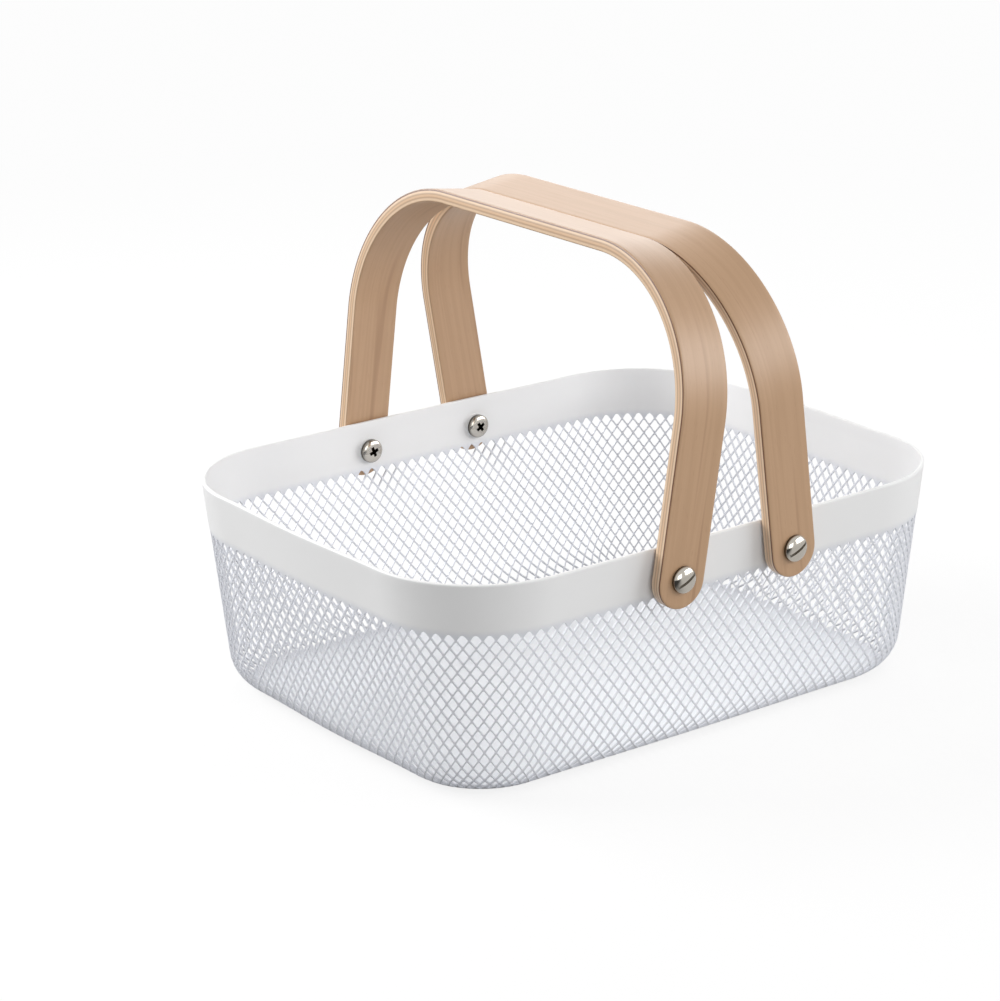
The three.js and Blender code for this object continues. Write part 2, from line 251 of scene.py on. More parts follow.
def bentPlywood():
    # birch veneers glued, bent and clear lacquered: fine grain and a few dark streaks along the strip,
    # and the plies with their brown glue lines on its edges. The strip attribute is the flat strip's
    # own place: across, along and depth in metres.
    look = veneer
    material, tree = newMaterial("bentPlywood")
    strip = addNode(tree, "ShaderNodeAttribute", {"attribute_name": "strip"}).outputs["Vector"]
    depth = addNode(tree, "ShaderNodeSeparateXYZ", inputs={0: strip}).outputs["Z"]
    drawn, dashes, lines = (
        addNode(tree, "ShaderNodeMapping", inputs={"Vector": strip, "Scale": (1, look[along], 0.5)})
        for along in ("alongGrain", "alongFleck", "alongStreak"))
    grain = addNode(tree, "ShaderNodeTexNoise", inputs={
        "Vector": drawn, "Scale": 1 / look["grain"], "Detail": 4, "Roughness": 0.6})
    figure = addNode(tree, "ShaderNodeTexNoise", inputs={
        "Vector": drawn, "Scale": 1 / look["figure"], "Detail": 2, "Distortion": 0.4})
    rings = addNode(tree, "ShaderNodeMath", {"operation": "MULTIPLY"}, {0: figure, 1: look["rings"]})
    ring = addNode(tree, "ShaderNodeMath", {"operation": "PINGPONG"}, {0: rings, 1: 0.5})
    ringShare = addNode(tree, "ShaderNodeMapRange", {"interpolation_type": "SMOOTHSTEP"}, {
        "Value": ring, "From Max": 0.5, "To Min": look["ringShare"][0], "To Max": look["ringShare"][1]})
    late = addNode(tree, "ShaderNodeMath", {"operation": "MULTIPLY_ADD"}, {
        0: grain, 1: look["grainShare"], 2: ringShare})
    wood = addNode(tree, "ShaderNodeMix", {"data_type": "RGBA"}, {
        "Factor": late, "A": toLinear(look["early"]), "B": toLinear(look["late"])})
    fleck = addNode(tree, "ShaderNodeTexVoronoi", inputs={"Vector": dashes, "Scale": 1 / look["fleck"]})
    flecked = addNode(tree, "ShaderNodeMapRange", inputs={
        "Value": fleck, "From Min": look["fleckFade"][0], "From Max": look["fleckFade"][1],
        "To Min": look["fleckShare"], "To Max": 0.0})
    streak = addNode(tree, "ShaderNodeTexNoise", inputs={
        "Vector": lines, "Scale": 1 / look["streak"], "Detail": 1, "Distortion": 0.6})
    streaked = addNode(tree, "ShaderNodeMapRange", {"interpolation_type": "SMOOTHSTEP"}, {
        "Value": streak, "From Min": look["streakFade"][0], "From Max": look["streakFade"][1],
        "To Max": look["streakShare"]})
    marked = addNode(tree, "ShaderNodeMath", {"operation": "MAXIMUM"}, {0: flecked, 1: streaked})
    face = addNode(tree, "ShaderNodeMix", {"data_type": "RGBA"}, {
        "Factor": marked, "A": wood, "B": toLinear(look["mark"])})

    # edges: plies counted by depth, every other one across the grain, a glue line between two, the
    # first one the darkest
    pastFirst = addNode(tree, "ShaderNodeMath", {"operation": "SUBTRACT"}, {0: depth, 1: look["firstPly"]})
    plies = addNode(tree, "ShaderNodeMath", {"operation": "DIVIDE"}, {0: pastFirst, 1: look["ply"]})
    ply = addNode(tree, "ShaderNodeMath", {"operation": "FLOOR"}, {0: plies})
    crossed = addNode(tree, "ShaderNodeMath", {"operation": "PINGPONG"}, {0: ply, 1: 1})
    grained = addNode(tree, "ShaderNodeMath", {"operation": "MULTIPLY"}, {0: grain, 1: look["edgeGrain"]})
    plyTone = addNode(tree, "ShaderNodeMath", {"operation": "MULTIPLY_ADD"}, {
        0: crossed, 1: look["crossedTone"], 2: grained})
    edge = addNode(tree, "ShaderNodeMix", {"data_type": "RGBA"}, {
        "Factor": plyTone, "A": toLinear(look["edgePale"]), "B": toLinear(look["edgeDark"])})
    toLine = addNode(tree, "ShaderNodeMath", {"operation": "PINGPONG"}, {0: plies, 1: 0.5})
    line = addNode(tree, "ShaderNodeMapRange", inputs={
        "Value": toLine, "From Min": look["glueLine"][0], "From Max": look["glueLine"][1],
        "To Min": 1.0, "To Max": 0.0})
    fade = addNode(tree, "ShaderNodeMapRange", inputs={
        "Value": plies, "From Min": look["glueFade"][0], "From Max": look["glueFade"][1],
        "To Min": 1.0, "To Max": look["innerGlue"]})
    lineShare = addNode(tree, "ShaderNodeMath", {"operation": "MULTIPLY"}, {0: line, 1: fade})
    glued = addNode(tree, "ShaderNodeMix", {"data_type": "RGBA"}, {
        "Factor": lineShare, "A": edge, "B": toLinear(look["glue"])})
    fromMiddle = addNode(tree, "ShaderNodeMath", {"operation": "SUBTRACT"}, {
        0: depth, 1: handle["thickness"] / 2})
    offMiddle = addNode(tree, "ShaderNodeMath", {"operation": "ABSOLUTE"}, {0: fromMiddle})
    onEdge = addNode(tree, "ShaderNodeMath", {"operation": "LESS_THAN"}, {
        0: offMiddle, 1: handle["thickness"] / 2 - handle["edge"] / 2})
    colour = addNode(tree, "ShaderNodeMix", {"data_type": "RGBA"}, {
        "Factor": onEdge, "A": face, "B": glued})
    bump = addNode(tree, "ShaderNodeBump", inputs={
        "Height": grain, "Strength": look["grainBump"], "Distance": look["grainDepth"]})
    gloss = addNode(tree, "ShaderNodeMapRange", inputs={
        "Value": grain, "To Min": look["roughness"][0], "To Max": look["roughness"][1]})
    shader = addNode(tree, "ShaderNodeBsdfPrincipled", inputs={
        "Base Color": colour, "Roughness": gloss, "Normal": bump,
        "Coat Weight": look["coat"], "Coat Roughness": look["coatRoughness"]})
    addNode(tree, "ShaderNodeOutputMaterial", inputs={"Surface": shader})
    return material


# the second colour is painted shade, for the foot of a head and its recess
nickel = {"unshaded": "#CAC4BA", "grime": "#2C251E", "haze": 1.5 * mm, "roughness": (0.07, 0.18)}


def nickelPlate():
    # bright nickel over steel, pressed heads: mirror-like with faint polishing haze, and painted shade
    # at the foot of a head and in its recess
    material, tree = newMaterial("nickelPlate")
    place = addNode(tree, "ShaderNodeTexCoord").outputs["Object"]
    haze = addNode(tree, "ShaderNodeTexNoise", inputs={
        "Vector": place, "Scale": 1 / nickel["haze"], "Detail": 4})
    rough = addNode(tree, "ShaderNodeMapRange", inputs={
        "Value": haze, "To Min": nickel["roughness"][0], "To Max": nickel["roughness"][1]})
    # painted shade, carried on the heads' mesh, darkens the plate at their feet and in their recesses
    grime = addNode(tree, "ShaderNodeAttribute", {"attribute_name": "grime"}).outputs["Fac"]
    tone = addNode(tree, "ShaderNodeMix", {"data_type": "RGBA"}, {
        "Factor": grime, "A": toLinear(nickel["unshaded"]), "B": toLinear(nickel["grime"])})
    shader = addNode(tree, "ShaderNodeBsdfPrincipled", inputs={
        "Base Color": tone, "Roughness": rough, "Metallic": 1})
    addNode(tree, "ShaderNodeOutputMaterial", inputs={"Surface": shader})
    return material


naturalNylon = {"dark": "#DAD8D0", "pale": "#E6E4DD", "cloud": 3 * mm, "roughness": 0.4}


def pressedNylon():
    # natural nylon washer: milky and waxy
    material, tree = newMaterial("pressedNylon")
    place = addNode(tree, "ShaderNodeTexCoord").outputs["Object"]
    cloud = addNode(tree, "ShaderNodeTexNoise", inputs={
        "Vector": place, "Scale": 1 / naturalNylon["cloud"], "Detail": 2})
    tint = addNode(tree, "ShaderNodeMix", {"data_type": "RGBA"}, {
        "Factor": cloud, "A": toLinear(naturalNylon["dark"]), "B": toLinear(naturalNylon["pale"])})
    shader = addNode(tree, "ShaderNodeBsdfPrincipled", inputs={
        "Base Color": tint, "Roughness": naturalNylon["roughness"]})
    addNode(tree, "ShaderNodeOutputMaterial", inputs={"Surface": shader})
    return material


# tub: the lattice is drawn flat, then wrapped round the rim's outline and down the wall's profile

tub = {
    "rimLength": 300 * mm, "rimWidth": 233 * mm, "height": 103.5 * mm, "cornerRadius": 54 * mm,
    "draft": math.radians(6.1), "endBow": 1.5 * mm, "sideBow": 0.7 * mm,
    "footRadius": 20 * mm, "wall": 1.5 * mm, "band": 22.5 * mm,
    "lip": 1.9 * mm, "lipTaper": 8 * mm, "lipRound": 0.7 * mm, "bandLoop": 1 * mm,
    "columns": 160, "halfRows": 22, "footStrip": 8 * mm, "floorBorder": 12 * mm, "weld": 0.02 * mm,
    "holeShares": ((0, 0.88), (0.5, 0.82), (1, 0.87)),  # depth in the strand, share of the cell
    "holeCornerCut": 0.12, "archWiden": 0.06, "latticeDepth": 0.6,  # the last a share of the wall
    "bossRadius": 5.6 * mm, "bossChamfer": 0.3 * mm, "postHole": 3.8 * mm, "drillPast": 5 * mm,
    "sharp": 38,
}
lean = {"sin": math.sin(tub["draft"]), "cos": math.cos(tub["draft"]), "tan": math.tan(tub["draft"])}
foot = {
    "length": tub["footRadius"] * (math.pi / 2 - tub["draft"]),
    "inset": (tub["height"] - tub["footRadius"]) * lean["tan"] + tub["footRadius"] / lean["cos"],
    "top": tub["footRadius"] * (1 - lean["sin"]),
}
wallRun = {  # distances up the outside of the wall from the foot
    "latticeTop": foot["length"] + (tub["height"] - tub["band"] - foot["top"]) / lean["cos"],
    "rim": foot["length"] + (tub["height"] - foot["top"]) / lean["cos"] - tub["lip"] * lean["tan"],
}
rowStep = (wallRun["latticeTop"] - tub["footStrip"]) / tub["halfRows"]


def rimOutline(inset, steps=24):
    # rounded rectangle with slightly swollen sides, anticlockwise from the +X end
    points = []
    for quarter in range(4):
        isEnd = quarter % 2 == 0
        side = (tub["rimLength"] if isEnd else tub["rimWidth"]) / 2
        straight = (tub["rimWidth"] if isEnd else tub["rimLength"]) - 2 * tub["cornerRadius"]
        bow = tub["endBow"] if isEnd else tub["sideBow"]
        radius = tub["cornerRadius"] - inset
        turn = Matrix.Rotation(quarter * math.pi / 2, 3, "Z")
        for i in range(steps):
            along = (i / steps - 0.5) * straight
            out = side - inset + bow * math.cos(math.pi * along / straight) ** 2
            points.append(turn @ Vector((out, along, 0)))
        for i in range(steps):
            angle = i / steps * math.pi / 2
            out = side - inset + radius * (math.cos(angle) - 1)
            points.append(turn @ Vector((out, straight / 2 + radius * math.sin(angle), 0)))
    return points


def closedCurve(name, points):
    curve = bpy.data.curves.new(name, "CURVE")
    curve.dimensions = "3D"
    spline = curve.splines.new("POLY")
    spline.points.add(len(points) - 1)
    for point, place in zip(spline.points, points):
        point.co = (*place, 1)
    spline.use_cyclic_u = True
    return newObject(name, curve)


def latticeCell(name, roundTop):
    # one diamond with a diamond hole through it; across in columns, up in half rows, depth in walls.
    # The hole is narrowest inside the wall, which rounds the strands, and its sharp corners are cut.
    # Under the band, where no strand runs above a hole, its top is a wide arch
    right, top, left, bottom = corners = [Vector(c) for c in ((0.5, 0), (0, 1), (-0.5, 0), (0, -1))]
    cut = tub["holeCornerCut"]
    points = [(*corner, depth) for depth in (0, 1) for corner in corners]
    rings = []
    for depth, share in tub["holeShares"]:
        crown = [top.lerp(right, cut) * share, top.lerp(left, cut) * share]
        if roundTop:
            shoulders = (top.lerp(right, 0.5), top, top.lerp(left, 0.5))
            start, peak, end = (p * (share + tub["archWiden"]) for p in shoulders)
            crown = [start.lerp(peak, t).lerp(peak.lerp(end, t), t) for t in (0, 0.25, 0.5, 0.75, 1)]
        heel = [bottom.lerp(left, cut) * share, bottom.lerp(right, cut) * share]
        ring = []
        for group in ([right * share], crown, [left * share], heel):
            ring.append(range(len(points), len(points) + len(group)))
            points += [(*place, depth) for place in group]
        rings.append(ring)
    faces = []
    for first, ring in ((0, rings[0]), (4, rings[-1])):
        for i in range(4):
            ahead = (i + 1) % 4
            faces.append([first + i, first + ahead, ring[ahead][0], ring[i][-1]])
            faces += [[first + i, k + 1, k] for k in ring[i][:-1]]
    for outer, inner in zip(rings, rings[1:]):
        outerLoop, innerLoop = ([k for group in ring for k in group] for ring in (outer, inner))
        for k in range(len(outerLoop)):
            faces.append([outerLoop[k - 1], outerLoop[k], innerLoop[k], innerLoop[k - 1]])
    return meshObject(name, points, faces)


def halfCell():
    outline = [(-0.5, 0), (0, 0), (0.5, 0), (0, 1)]
    points = [(x, y, depth) for depth in (0, 1) for x, y in outline]
    return meshObject("halfCell", points, [[0, 1, 3], [1, 2, 3], [4, 5, 7], [5, 6, 7]])


def columnStrip(name, section):
    # a section of (distance up the wall, depth), drawn one column wide as two half columns
    points, faces = [], []
    for x in (-0.5, 0, 0.5):
        points += [(x, (up - tub["footStrip"]) / rowStep, depth / tub["wall"]) for up, depth in section]
    count = len(section)
    for i in range(2):
        for j in range(count - 1):
            start = i * count + j
            faces.append([start, start + count, start + count + 1, start + 1])
    return meshObject(name, points, faces)


def rimSection(roundSteps=5, taperSteps=6):
    # up the outside, over the round lip, and down the inside, where the lip thins out to the wall
    top, rim, radius = wallRun["latticeTop"], wallRun["rim"], tub["lipRound"]
    lip, wall, loop = tub["lip"], tub["wall"], tub["bandLoop"]
    turns = [i / roundSteps * math.pi / 2 for i in range(roundSteps + 1)]
    section = [(top, 0), (top + loop, 0), (rim - radius - loop, 0)]
    section += [(rim - radius + radius * math.sin(a), radius - radius * math.cos(a)) for a in turns]
    section += [(rim - radius + radius * math.cos(a), lip - radius + radius * math.sin(a)) for a in turns]
    for i in range(1, taperSteps + 1):
        fall = (1 + math.cos(math.pi * i / taperSteps)) / 2
        up = rim - radius - (tub["lipTaper"] - radius) * i / taperSteps
        section.append((up, wall + (lip - wall) * fall))
    return section + [(top + loop, wall), (top, wall)]


def footSection(steps=4):
    heights = [tub["footStrip"] * i / steps for i in range(steps, -1, -1)]
    outside = [(up, 0) for up in heights] + [(-tub["floorBorder"], 0)]
    return outside + [(up, tub["wall"]) for up, _ in reversed(outside)]


latticeSums = (  # a result, its operation and what goes in: a number, an input or an earlier result
    # full cells row by row, every other row moved half a column
    ("fullRows", "SUBTRACT", "Half rows", 1), ("cellCount", "MULTIPLY", "Columns", "fullRows"),
    ("column", "MODULO", "index", "Columns"), ("rowShare", "DIVIDE", "index", "Columns"),
    ("rowBelow", "FLOOR", "rowShare"), ("row", "ADD", "rowBelow", 1), ("odd", "MODULO", "row", 2),
    ("across", "MULTIPLY_ADD", "odd", 0.5, "column"),
    ("belowTop", "LESS_THAN", "row", "fullRows"), ("inTop", "SUBTRACT", 1, "belowTop"),
    ("topOdd", "MODULO", "Half rows", 2), ("topShift", "MULTIPLY", "topOdd", 0.5),
    # the flat drawing's place as a share of the outline and a distance up the wall
    ("turns", "DIVIDE", "X", "Columns"), ("share", "FRACT", "turns"),
    ("up", "MULTIPLY_ADD", "Y", "Row step", "Foot strip"),
    # depth: the lattice is thinner than the wall, and thickens over its last half row at the foot and band
    ("fromTop", "SUBTRACT", "Half rows", "Y"), ("fromEdge", "MINIMUM", "Y", "fromTop"),
    ("inside", "MAXIMUM", "fromEdge", 0), ("freed", "MINIMUM", "inside", 1),
    ("thinning", "SUBTRACT", "Lattice depth", 1), ("thin", "MULTIPLY_ADD", "freed", "thinning", 1),
    ("offMiddle", "SUBTRACT", "Z", 0.5), ("layer", "MULTIPLY_ADD", "offMiddle", "thin", 0.5),
    ("depth", "MULTIPLY", "layer", "Wall"),
    # profile: flat floor, round foot, leaning wall
    ("inwards", "MINIMUM", "up", 0), ("raised", "MAXIMUM", "up", 0),
    ("onFoot", "MINIMUM", "raised", "Foot length"), ("angle", "DIVIDE", "onFoot", "Foot radius"),
    ("pastFoot", "SUBTRACT", "up", "Foot length"), ("climb", "MAXIMUM", "pastFoot", 0),
    ("radius", "SUBTRACT", "Foot radius", "depth"),
    ("sinAngle", "SINE", "angle"), ("cosAngle", "COSINE", "angle"),
    ("sinDraft", "SINE", "Draft"), ("cosDraft", "COSINE", "Draft"),
    ("footIn", "MULTIPLY", "radius", "sinAngle"), ("wallIn", "MULTIPLY_ADD", "climb", "sinDraft", "footIn"),
    ("allIn", "ADD", "wallIn", "inwards"), ("inset", "SUBTRACT", "Foot inset", "allIn"),
    ("footDown", "MULTIPLY", "radius", "cosAngle"), ("footUp", "SUBTRACT", "Foot radius", "footDown"),
    ("height", "MULTIPLY_ADD", "climb", "cosDraft", "footUp"),
)


def wrapTree():
    drawings = ("Rim outline", "Cell", "Top cell", "Half cell", "Rim strip", "Foot piece")
    tree, given = nodeTree("latticeWrap", {
        "Int": ("Columns", "Half rows"),
        "Float": ("Row step", "Foot strip", "Wall", "Foot radius", "Foot inset", "Foot length", "Draft",
                  "Lattice depth", "Weld"),
        "Object": drawings, "Material": ("Finish",)})
    drawn = addNode(tree, "ShaderNodeSeparateXYZ", inputs={0: addNode(tree, "GeometryNodeInputPosition")})
    known = {**dict(given.items()), **dict(drawn.outputs.items())}
    known["index"] = addNode(tree, "GeometryNodeInputIndex")
    for result, operation, *values in latticeSums:
        known[result] = addNode(tree, "ShaderNodeMath", {"operation": operation}, {
            k: known.get(value, value) for k, value in enumerate(values)})
    shapes = {}
    for name in drawings:
        info = addNode(tree, "GeometryNodeObjectInfo", inputs={"Object": given[name]})
        shapes[name] = info.outputs["Geometry"]

    # full cells on one point each
    cellPoints = addNode(tree, "GeometryNodeMeshLine", inputs={"Count": known["cellCount"]})
    cellPlace = addNode(tree, "ShaderNodeCombineXYZ", inputs={"X": known["across"], "Y": known["row"]})
    placed = addNode(tree, "GeometryNodeSetPosition", inputs={
        "Geometry": cellPoints, "Position": cellPlace})
    made = [addNode(tree, "GeometryNodeInstanceOnPoints", inputs={
        "Points": placed, "Selection": known[chosen], "Instance": shapes[name]})
        for name, chosen in (("Cell", "belowTop"), ("Top cell", "inTop"))]

    # one row of points for what closes the lattice at its foot and under the band
    rowPoints = addNode(tree, "GeometryNodeMeshLine", inputs={
        "Count": given["Columns"], "Offset": (1, 0, 0)})
    lower, upper, rim, footing = (
        addNode(tree, "GeometryNodeInstanceOnPoints", inputs={
            "Points": rowPoints, "Instance": shapes[name], "Rotation": (0, 0, turn)})
        for name, turn in (("Half cell", 0), ("Half cell", math.pi), ("Rim strip", 0), ("Foot piece", 0)))
    topPlace = addNode(tree, "ShaderNodeCombineXYZ", inputs={
        "X": known["topShift"], "Y": given["Half rows"]})
    atTop = addNode(tree, "GeometryNodeTransform", inputs={"Geometry": upper, "Translation": topPlace})
    joined = addNode(tree, "GeometryNodeJoinGeometry")
    for part in (*made, lower, atTop, rim, footing):
        tree.links.new(part.outputs[0], joined.inputs[0])
    flat = addNode(tree, "GeometryNodeRealizeInstances", inputs={"Geometry": joined})

    # wrap: a place on the rim's outline, moved in along its normal and up
    onRim = addNode(tree, "GeometryNodeSampleCurve", {"mode": "FACTOR"}, {
        "Curves": shapes["Rim outline"], "Factor": known["share"]}).outputs
    sideways = addNode(tree, "ShaderNodeVectorMath", {"operation": "CROSS_PRODUCT"}, {
        0: (0, 0, 1), 1: onRim["Tangent"]})
    unit = addNode(tree, "ShaderNodeVectorMath", {"operation": "NORMALIZE"}, {0: sideways})
    moved = addNode(tree, "ShaderNodeVectorMath", {"operation": "SCALE"}, {
        0: unit, "Scale": known["inset"]})
    onPlan = addNode(tree, "ShaderNodeVectorMath", {"operation": "ADD"}, {0: onRim["Position"], 1: moved})
    lift = addNode(tree, "ShaderNodeCombineXYZ", inputs={"Z": known["height"]})
    place = addNode(tree, "ShaderNodeVectorMath", {"operation": "ADD"}, {0: onPlan, 1: lift})
    wrapped = addNode(tree, "GeometryNodeSetPosition", inputs={"Geometry": flat, "Position": place})
    welded = addNode(tree, "GeometryNodeMergeByDistance", inputs={
        "Geometry": wrapped, "Distance": given["Weld"]})
    finished = addNode(tree, "GeometryNodeSetMaterial", inputs={
        "Geometry": welded, "Material": given["Finish"]})
    addNode(tree, "NodeGroupOutput", inputs={0: finished})
    return tree


def pivotPlaces():
    for joint in frame["record"]["behaviour"]["joints"]:
        x, _, z = joint["pos_m"]
        for way in (-1, 1):
            yield x, way, z


def bossDiscs(name, radius, face, back, chamfer, sides=48):
    # four short discs on the pivots, as one mesh of separate closed shells
    points, faces = [], []
    small = radius - chamfer
    rings = [(small, back), (radius, back + chamfer), (radius, face - chamfer), (small, face)]
    for x, way, z in pivotPlaces():
        first = len(points)
        for ringRadius, y in rings:
            points += [(x + across, way * y, z + up) for across, up in circle(ringRadius, sides)]
        for j in range(len(rings) - 1):
            for k in range(sides):
                a, b = first + j * sides + k, first + j * sides + (k + 1) % sides
                faces.append([a, b, b + sides, a + sides])
        faces.append([first + k for k in range(sides)])
        faces.append([first + (len(rings) - 1) * sides + k for k in range(sides)])
    made = meshObject(name, points, faces)
    facesOutward(made.data)
    return made


def makeTub(finish):
    carrier = meshObject("tubCarrier", [(0, 0, 0)], [])
    helpers = {
        "Rim outline": closedCurve("rimOutline", rimOutline(0)), "Cell": latticeCell("cell", False),
        "Top cell": latticeCell("topCell", True), "Half cell": halfCell(),
        "Rim strip": columnStrip("rimStrip", rimSection()),
        "Foot piece": columnStrip("footPiece", footSection()),
    }
    nodeModifier(carrier, wrapTree(), {
        "Columns": tub["columns"], "Half rows": tub["halfRows"], "Row step": rowStep,
        "Foot strip": tub["footStrip"], "Wall": tub["wall"], "Foot radius": tub["footRadius"],
        "Foot inset": foot["inset"], "Foot length": foot["length"], "Draft": tub["draft"],
        "Lattice depth": tub["latticeDepth"], "Weld": tub["weld"], "Finish": finish, **helpers})
    walls = newObject("latticeTub", evaluatedMesh(carrier, "latticeTub"))
    discard(carrier, *helpers.values())
    facesOutward(walls.data)
    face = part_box("pivot_washer_left_back")[0].y
    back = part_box("pivot_screw_left_back")[0].y + hardware["screwRim"] + hardware["screwDome"]
    bosses = bossDiscs("bosses", tub["bossRadius"], face, back, tub["bossChamfer"])
    drills = bossDiscs("drills", tub["postHole"], face + tub["drillPast"], back - tub["drillPast"], 0)
    plate = prism("floorPlate", rimOutline(foot["inset"] + tub["floorBorder"] / 2), 0, tub["wall"])
    cutBy(walls, [(plate, "UNION"), (bosses, "UNION"), (drills, "DIFFERENCE")])
    finishMesh(walls.data, finish, tub["sharp"])
    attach(walls, "tub")
    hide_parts("basket_tub")
    print("tub:", len(walls.data.polygons), "faces")


# handles: a flat strip with round ends, bent along the arch and leaned over its pivots

handle = {
    "width": 25 * mm, "thickness": 6 * mm, "reach": 137.5 * mm, "bend": 67 * mm, "lean": math.radians(1.4),
    "tilt": math.radians(8.3), "tail": 1.3 * mm, "edge": 0.6 * mm, "legOuter": 123.7 * mm, "bore": 3.8 * mm,
    "columns": (0.3, 0.6, 0.86, 1), "endSteps": 24, "straightStep": 8 * mm, "bendStep": 2.5 * mm,
    "boreSides": 40, "edgeSteps": 3, "grainShift": 0.5, "sharp": 40,
}


def archRuns():
    # the bend's centre, and the lengths of a leg, a bend and half of the top along the outer face
    slope = handle["lean"]
    centreZ = handle["reach"] - handle["bend"]
    centreY = handle["legOuter"] + centreZ * math.tan(slope) - handle["bend"] / math.cos(slope)
    leg = (centreZ - handle["bend"] * math.sin(slope)) / math.cos(slope)
    return centreY, centreZ, leg, handle["bend"] * (math.pi / 2 + slope), centreY


def archPoint(along, depth):
    # the arch from one pivot to the other: (y, z) at a distance along it and a depth below its outer face
    centreY, centreZ, leg, bend, top = archRuns()
    total = 2 * (leg + bend + top)
    way = 1 if along < total / 2 else -1
    run = min(along, total - along)
    if run < leg:
        slope = handle["lean"]
        y, z = handle["legOuter"] + run * math.sin(slope), run * math.cos(slope)
        inY, inZ = -math.cos(slope), math.sin(slope)
    elif run < leg + bend:
        angle = (run - leg) / handle["bend"] - handle["lean"]
        inY, inZ = -math.cos(angle), -math.sin(angle)
        y, z = centreY - handle["bend"] * inY, centreZ - handle["bend"] * inZ
    else:
        y, z, inY, inZ = centreY - (run - leg - bend), handle["reach"], 0, -1
    return way * (y + inY * depth), z + inZ * depth


def stripRows():
    _, _, leg, bend, top = archRuns()
    end = (leg + handle["tail"], "straightStep")
    rows = [-handle["tail"]]
    for length, step in (end, (bend, "bendStep"), (2 * top, "straightStep"), (bend, "bendStep"), end):
        count = math.ceil(length / handle[step])
        start = rows[-1]
        rows += [start + length * (i + 1) / count for i in range(count)]
    return rows


def flatStrip(name):
    # across, along and depth; the round ends are half discs whose rings meet the strip's columns
    bm = bmesh.new()
    columns = [handle["width"] / 2 * c for c in handle["columns"]]
    places = [-x for x in reversed(columns)] + [0] + columns
    middle = len(columns)
    rows = stripRows()
    grid = [[bm.verts.new((x, s, 0)) for x in places] for s in rows]
    for below, above in zip(grid, grid[1:]):
        for j in range(len(places) - 1):
            bm.faces.new((below[j], below[j + 1], above[j + 1], above[j]))
    steps = handle["endSteps"]
    for line, way in ((grid[0], -1), (grid[-1], 1)):
        previous = line[middle + 1:]
        for i in range(1, steps + 1):
            angle = math.pi * i / steps
            spoke = line[:middle][::-1]
            if i < steps:
                across, along = math.cos(angle), way * math.sin(angle)
                spoke = [bm.verts.new((x * across, line[0].co.y + x * along, 0)) for x in columns]
            bm.faces.new((line[middle], previous[0], spoke[0]))
            for j in range(middle - 1):
                bm.faces.new((previous[j], previous[j + 1], spoke[j + 1], spoke[j]))
            previous = spoke
    rim = [e for e in bm.edges if e.is_boundary]
    top = bm.faces[:]
    lower = {v: bm.verts.new((v.co.x, v.co.y, handle["thickness"])) for v in bm.verts[:]}
    for face in top:
        bm.faces.new([lower[v] for v in reversed(face.verts)])
    for edge in rim:
        a, b = edge.verts
        bm.faces.new((a, b, lower[b], lower[a]))
    bmesh.ops.recalc_face_normals(bm, faces=bm.faces)
    level = [e for e in bm.edges if len(e.link_faces) == 2 and e.verts[0].co.z == e.verts[1].co.z]
    square = [e for e in level if e.calc_face_angle() > 1]
    bmesh.ops.bevel(bm, geom=square, offset=handle["edge"], segments=handle["edgeSteps"],
                    profile=0.5, affect="EDGES")
    mesh = bpy.data.meshes.new(name)
    bm.to_mesh(mesh)
    bm.free()
    return newObject(name, mesh), rows


def makeHandle(name, node, pivot, way, finish):
    strip, rows = flatStrip(name)
    ring = circle(handle["bore"], handle["boreSides"])
    bores = []
    for along in (0, rows[-1] - handle["tail"]):
        outline = [(x, along + y) for x, y in ring]
        bores.append((prism("bore", outline, -handle["thickness"], 2 * handle["thickness"]), "DIFFERENCE"))
    cutBy(strip, bores)
    mesh = strip.data
    drawn = mesh.attributes.new("strip", "FLOAT_VECTOR", "POINT")  # the flat strip's place, for the veneer
    tilted = Matrix.Rotation(-way * handle["tilt"], 3, "Y")
    for i, vertex in enumerate(mesh.vertices):
        across, along, depth = vertex.co
        drawn.data[i].vector = (across, along + way * handle["grainShift"], depth)
        y, z = archPoint(along, depth)
        vertex.co = tilted @ Vector((across, y, z)) + Vector(pivot)
    facesOutward(mesh)
    finishMesh(mesh, finish, handle["sharp"])
    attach(strip, node.split("_")[1] + "_handle")
    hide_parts(node)
    print(name + ":", len(mesh.polygons), "faces")


# pivot hardware: one shape each, set on the four pivots

hardware = {
    "postHead": 6.2 * mm, "postRim": 0.9 * mm, "postDome": 2.7 * mm, "postBarrel": 3.5 * mm,
    "postFullness": 2.0, "slotWidth": 1.3 * mm, "slotDepth": 1.2 * mm, "slotTurns": (27, 75, 27, 140),
    "screwHead": 5.8 * mm, "screwRim": 1.3 * mm, "screwDome": 1.9 * mm, "screwShank": 2.0 * mm,
    "screwLength": 8 * mm, "screwFullness": 2.6, "crossReach": 3.3 * mm, "crossWidth": 1.9 * mm,
    "crossDepth": 2.4 * mm, "crossTaper": 0.5, "crossTurns": (10, 22, 61, 35), "screwWeld": 0.01 * mm,
    "washerBore": 3.8 * mm, "washerRadius": 6.4 * mm, "washerThickness": 0.8 * mm,
    # the heights, shares and fade below place the painted shade at the heads' feet and in their recesses
    "postShadeHeight": 1.6 * mm, "slotShade": 0.6, "screwShadeHeight": 2.5 * mm, "crossShade": 1, "shadeFade": 1.6,
    "ease": 0.25 * mm, "sides": 56, "sharp": 32,
}


